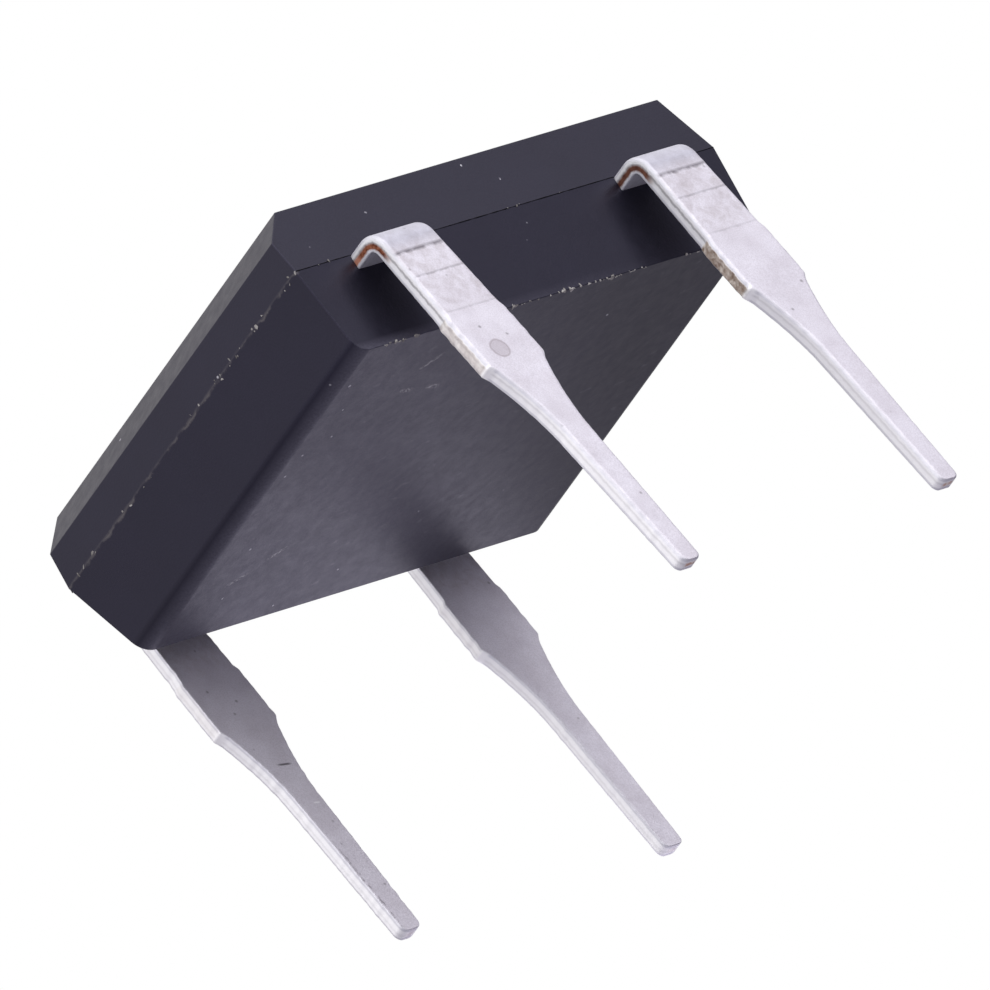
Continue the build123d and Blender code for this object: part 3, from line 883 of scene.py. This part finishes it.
# Floor
# A sheet of pale card under the tips of the leads. It is seen from above only, because the photograph looks
# up from under the board's place, and it keeps the shadow.
floor_half = 0.6
floor = bpy.data.objects.new("floor", bpy.data.meshes.new("floor"))
corners = [(x * floor_half, y * floor_half) for x, y in ((-1, -1), (1, -1), (1, 1), (-1, 1))]
floor.data.from_pydata([(x, y, -tip_depth) for x, y in corners], [], [(0, 1, 2, 3)])
scene.collection.objects.link(floor)
# Uncoated card: off-white and dull, with a faint fibre.
card = bpy.data.materials.new("Pale_card")
card.use_nodes = True
tree = card.node_tree
tree.nodes.clear()
place = add_node(tree, "ShaderNodeTexCoord").outputs["Object"]
values = {"Vector": place, "Scale": 1 / (0.4 * mm), "Detail": 3.0}
fibre = add_node(tree, "ShaderNodeTexNoise", values).outputs[0]
colour = add_node(
    tree, "ShaderNodeMix", {0: fibre, 6: linear("#d6d6d8"), 7: linear("#dededf")}, data_type="RGBA"
)
paper = add_node(tree, "ShaderNodeBsdfPrincipled", {"Base Color": colour.outputs[2], "Roughness": 0.9})
clear = add_node(tree, "ShaderNodeBsdfTransparent")
behind = add_node(tree, "ShaderNodeNewGeometry").outputs["Backfacing"]
mixed = add_node(tree, "ShaderNodeMixShader", {0: behind, 1: paper.outputs[0], 2: clear.outputs[0]})
add_node(tree, "ShaderNodeOutputMaterial", {"Surface": mixed.outputs[0]})
floor.data.materials.append(card)
floor.visible_diffuse = False
floor.visible_glossy = False
floor.visible_shadow = False


# Light
# A white tent all round, violet-grey towards the ground and dimmer at its open end beyond +X. A wide and a
# small soft panel stand before the near row of leads and one at the bevelled end, and a weak glow comes from
# behind and below.
tent_level = 0.8
world = bpy.data.worlds.new("White_tent")
scene.world = world
world.use_nodes = True
tree = world.node_tree
tree.nodes.clear()
rays = add_node(tree, "ShaderNodeLightPath").outputs
seen = add_node(
    tree, "ShaderNodeMath", {0: rays["Is Camera Ray"], 1: rays["Is Glossy Ray"]}, operation="MAXIMUM"
)
seen = add_node(
    tree, "ShaderNodeMath", {0: seen.outputs[0], 1: rays["Is Transmission Ray"]}, operation="MAXIMUM"
)
level = add_node(tree, "ShaderNodeMapRange", {0: seen.outputs[0], 3: tent_level, 4: 1.0}).outputs[0]
way = add_node(tree, "ShaderNodeTexCoord").outputs["Generated"]
way = add_node(tree, "ShaderNodeSeparateXYZ", {0: way}).outputs
turned = add_node(
    tree, "ShaderNodeMath", {0: way["Y"], 1: -0.8, 2: way["X"]}, operation="MULTIPLY_ADD"
).outputs[0]
open_end = add_node(tree, "ShaderNodeMapRange", {0: turned, 1: 0.3, 2: 1.2}).outputs[0]
sky = add_node(tree, "ShaderNodeMapRange", {0: way["Z"], 1: -0.45, 2: 0.2}).outputs[0]
back = add_node(tree, "ShaderNodeMapRange", {0: way["Y"], 1: 0.2, 2: 0.6}).outputs[0]
behind = add_node(
    tree, "ShaderNodeMath", {0: way["X"], 1: -0.5, 2: way["Y"]}, operation="MULTIPLY_ADD"
).outputs[0]
behind = add_node(tree, "ShaderNodeMapRange", {0: behind, 1: -0.5, 2: 0.5}).outputs[0]
ground = add_node(
    tree, "ShaderNodeMix", {0: behind, 6: linear("#6f6d7a"), 7: linear("#a9a7b4")}, data_type="RGBA"
)
below = add_node(tree, "ShaderNodeMapRange", {0: way["Z"], 1: -0.6, 2: -0.95}).outputs[0]
ground = add_node(
    tree, "ShaderNodeMix", {0: below, 6: ground.outputs[2], 7: linear("#d2d0d8")}, data_type="RGBA"
)
cloth = add_node(
    tree, "ShaderNodeMix", {0: sky, 6: ground.outputs[2], 7: linear("#ffffff")}, data_type="RGBA"
)
for share, code in ((open_end, "#adaab8"), (back, "#e4e1e2")):
    shade = {0: share, 6: cloth.outputs[2], 7: linear(code)}
    cloth = add_node(tree, "ShaderNodeMix", shade, data_type="RGBA", blend_type="MULTIPLY")
cloth = {0: rays["Is Camera Ray"], 6: cloth.outputs[2], 7: linear("#ffffff")}
cloth = add_node(tree, "ShaderNodeMix", cloth, data_type="RGBA")
tent = add_node(tree, "ShaderNodeBackground", {"Color": cloth.outputs[2], "Strength": level})
add_node(tree, "ShaderNodeOutputWorld", {"Surface": tent.outputs[0]})
panels = (
    ("key_panel", (19, -92, 55), 120, 0.067, "#ffffff"),
    ("low_panel", (8, -104, 30), 40, 0.010, "#ffffff"),
    ("end_panel", (-100, -25, 44), 120, 0.061, "#ffffff"),
    ("ground_glow", (4.5, 8.6, -4.0), 9, 0.00028, "#f4f0ff"),
)
for name, place, size, power, code in panels:
    panel = bpy.data.objects.new(name, bpy.data.lights.new(name, "AREA"))
    panel.data.size = size * mm
    panel.data.energy = power
    panel.data.color = linear(code)[:3]
    panel.location = Vector(place) * mm
    panel.rotation_euler = (-Vector(place)).to_track_quat("-Z", "Y").to_euler()
    panel.visible_camera = False
    scene.collection.objects.link(panel)

# The glow lies below the floor's level and would draw a bright patch on it, so it leaves the floor out
unlit = bpy.data.collections.new("not_lit_from_below")
unlit.objects.link(floor)
unlit.collection_objects[0].light_linking.link_state = "EXCLUDE"
bpy.data.objects["ground_glow"].light_linking.receiver_collection = unlit


# Camera
# A long lens from below the near corner, turned on its axis as the photograph is.
camera = bpy.data.objects.new("camera", bpy.data.cameras.new("camera"))
right = Vector((0.645177, -0.473771, -0.599406))
down = Vector((-0.197802, 0.654207, -0.729992))
forward = right.cross(down)
aim = Vector((0.5182, 0.4372, 0.4885)) * mm
camera_distance = 450 * mm
half_frame = 6.43717 * mm
camera.data.sensor_width = 36
camera.data.lens = camera.data.sensor_width / 2 * camera_distance / half_frame
camera.data.clip_start = 0.01
camera.data.clip_end = 10
turned = Matrix((right, -down, -forward)).transposed().to_4x4()
camera.matrix_world = Matrix.Translation(aim - forward * camera_distance) @ turned
scene.collection.objects.link(camera)
scene.camera = camera
scene.view_settings.view_transform = "Standard"
